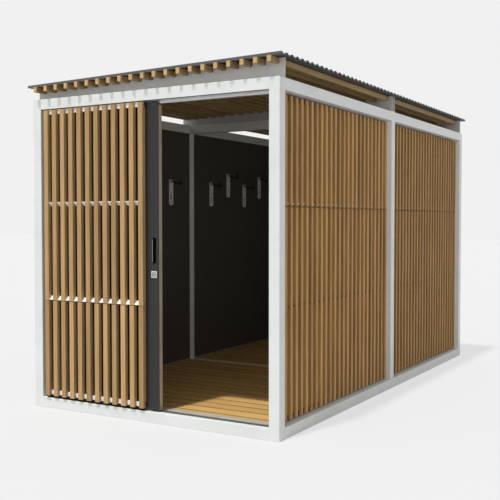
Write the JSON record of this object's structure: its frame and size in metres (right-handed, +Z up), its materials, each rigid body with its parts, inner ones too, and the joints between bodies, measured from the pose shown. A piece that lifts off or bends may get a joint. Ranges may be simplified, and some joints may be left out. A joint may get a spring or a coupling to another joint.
{
  "type": "bike shelter",
  "caption": "Free-standing bike shelter: white square-tube frame, upright timber slat walls, low corrugated roof on purlins, slatted sliding door, wall hooks and boarded floor.",
  "frame": {"origin": "centre of the footprint, on the ground", "axes": "+Z up, +Y from the doorway to the rear along the length, +X to the right seen from the doorway"},
  "size_m": [2.2414, 4.226, 2.5548],
  "materials": {
    "frame_steel": "satin white coating on steel tube",
    "roof_steel": "pale grey coated steel plate",
    "roof_sheet": "dark grey coated corrugated sheet",
    "purlin_timber": "planed softwood, oiled",
    "slat_timber": "planed hardwood slats, oiled",
    "strip_steel": "satin white coating on flat steel",
    "wall_strip": "dark brown coating on flat steel",
    "lining_board": "near-black matt laminate board",
    "floor_timber": "oiled floor boards",
    "sill_metal": "brushed strip",
    "door_skin": "anthracite satin coating",
    "door_timber": "lipped timber core",
    "gear_metal": "mill finish",
    "lock_metal": "satin brushed",
    "pull_dark": "grey coated metal cup",
    "hook_plate": "galvanised plate",
    "hook_coat": "black dipped coating on flat steel bar"
  },
  "bodies": {
    "shelter": {"post_front_left": "frame_steel", "post_front_right": "frame_steel", "post_mid_left": "frame_steel", "post_mid_right": "frame_steel", "post_rear_left": "frame_steel", "post_rear_right": "frame_steel", "bottom_rail_front": "frame_steel", "bottom_rail_rear": "frame_steel", "bottom_rail_left": "frame_steel", "bottom_rail_right": "frame_steel", "bottom_rail_mid": "frame_steel", "top_rail_front": "frame_steel", "top_rail_rear": "frame_steel", "top_rail_left": "frame_steel", "top_rail_right": "frame_steel", "top_rail_mid": "frame_steel", "roof_beam_front": "roof_steel", "roof_beam_mid": "roof_steel", "roof_beam_rear": "roof_steel", "purlins": "purlin_timber", "roof_sheet": "roof_sheet", "right_front_slats": "slat_timber", "right_rear_slats": "slat_timber", "left_front_slats": "slat_timber", "left_rear_slats": "slat_timber", "rear_slats": "slat_timber", "right_strips": "wall_strip", "right_lining": "lining_board", "left_strips": "wall_strip", "left_lining": "lining_board", "rear_strips": "wall_strip", "rear_lining": "lining_board", "front_fixed_panel": "lining_board", "floor_front_bay": "floor_timber", "floor_rear_bay": "floor_timber", "door_sill": "sill_metal", "door_track": "gear_metal", "door_guide": "gear_metal", "hook_plates": "hook_plate", "hook_arms": "hook_coat"},
    "door": {"door_skin": "door_skin", "door_core": "door_timber", "door_slats": "slat_timber", "door_strips": "strip_steel", "door_pull": "pull_dark", "door_lock": "lock_metal", "door_hangers": "gear_metal"}
  },
  "joints": [
    {"name": "door_slide", "type": "slide", "parent": "shelter", "child": "door", "axis": [1, 0, 0], "range_m": [0, 0.907]}
  ]
}
